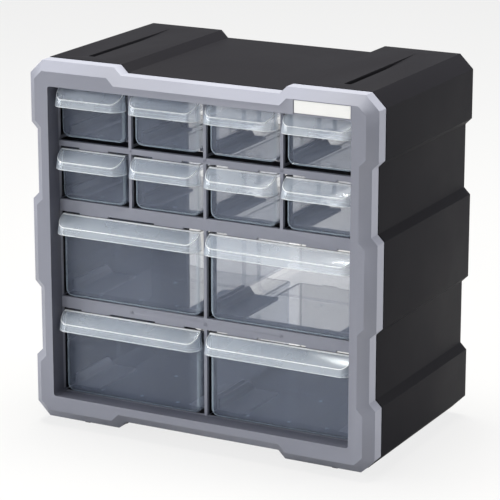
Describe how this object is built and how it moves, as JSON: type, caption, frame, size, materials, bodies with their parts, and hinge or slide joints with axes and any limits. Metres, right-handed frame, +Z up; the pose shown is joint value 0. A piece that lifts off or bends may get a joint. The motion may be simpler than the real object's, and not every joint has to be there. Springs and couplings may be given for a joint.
{
  "type": "parts bin cabinet",
  "caption": "Plastic parts bin cabinet: black housing, grey bevelled front frame, clear pull-out drawers of two sizes on guide rails.",
  "frame": {"origin": "centre of the footprint, at the height of the surface it stands on", "axes": "+X to the cabinet's right as its user faces it, +Y from the drawer front to the back, +Z up"},
  "size_m": [0.267, 0.159, 0.2645],
  "materials": {
    "black_plastic": "fine-grained satin black",
    "grey_plastic": "satin blue-grey",
    "label": "blank white",
    "clear_plastic": "clear, faintly bluish"
  },
  "bodies": {
    "cabinet": {"outer_housing": "black_plastic", "housing_top": "black_plastic", "housing_back": "black_plastic", "groove_strip_left": "black_plastic", "groove_strip_right": "black_plastic", "front_frame": "grey_plastic", "guides_1": "grey_plastic", "guides_2": "grey_plastic", "guides_3": "grey_plastic", "guides_4": "grey_plastic", "label": "label"},
    "drawer_1a": {"drawer_1a": "clear_plastic"},
    "drawer_1b": {"drawer_1b": "clear_plastic"},
    "drawer_1c": {"drawer_1c": "clear_plastic"},
    "drawer_1d": {"drawer_1d": "clear_plastic"},
    "drawer_2a": {"drawer_2a": "clear_plastic"},
    "drawer_2b": {"drawer_2b": "clear_plastic"},
    "drawer_2c": {"drawer_2c": "clear_plastic"},
    "drawer_2d": {"drawer_2d": "clear_plastic"},
    "drawer_3a": {"drawer_3a": "clear_plastic"},
    "drawer_3b": {"drawer_3b": "clear_plastic"},
    "drawer_4a": {"drawer_4a": "clear_plastic"},
    "drawer_4b": {"drawer_4b": "clear_plastic"}
  },
  "joints": [
    {"name": "slide_1a", "type": "slide", "parent": "cabinet", "child": "drawer_1a", "axis": [0, -1, 0], "range_m": [0, 0.1315]},
    {"name": "slide_1b", "type": "slide", "parent": "cabinet", "child": "drawer_1b", "axis": [0, -1, 0], "range_m": [0, 0.1315]},
    {"name": "slide_1c", "type": "slide", "parent": "cabinet", "child": "drawer_1c", "axis": [0, -1, 0], "range_m": [0, 0.1315]},
    {"name": "slide_1d", "type": "slide", "parent": "cabinet", "child": "drawer_1d", "axis": [0, -1, 0], "range_m": [0, 0.1315]},
    {"name": "slide_2a", "type": "slide", "parent": "cabinet", "child": "drawer_2a", "axis": [0, -1, 0], "range_m": [0, 0.1315]},
    {"name": "slide_2b", "type": "slide", "parent": "cabinet", "child": "drawer_2b", "axis": [0, -1, 0], "range_m": [0, 0.1315]},
    {"name": "slide_2c", "type": "slide", "parent": "cabinet", "child": "drawer_2c", "axis": [0, -1, 0], "range_m": [0, 0.1315]},
    {"name": "slide_2d", "type": "slide", "parent": "cabinet", "child": "drawer_2d", "axis": [0, -1, 0], "range_m": [0, 0.1315]},
    {"name": "slide_3a", "type": "slide", "parent": "cabinet", "child": "drawer_3a", "axis": [0, -1, 0], "range_m": [0, 0.1315]},
    {"name": "slide_3b", "type": "slide", "parent": "cabinet", "child": "drawer_3b", "axis": [0, -1, 0], "range_m": [0, 0.1315]},
    {"name": "slide_4a", "type": "slide", "parent": "cabinet", "child": "drawer_4a", "axis": [0, -1, 0], "range_m": [0, 0.1315]},
    {"name": "slide_4b", "type": "slide", "parent": "cabinet", "child": "drawer_4b", "axis": [0, -1, 0], "range_m": [0, 0.1315]}
  ]
}
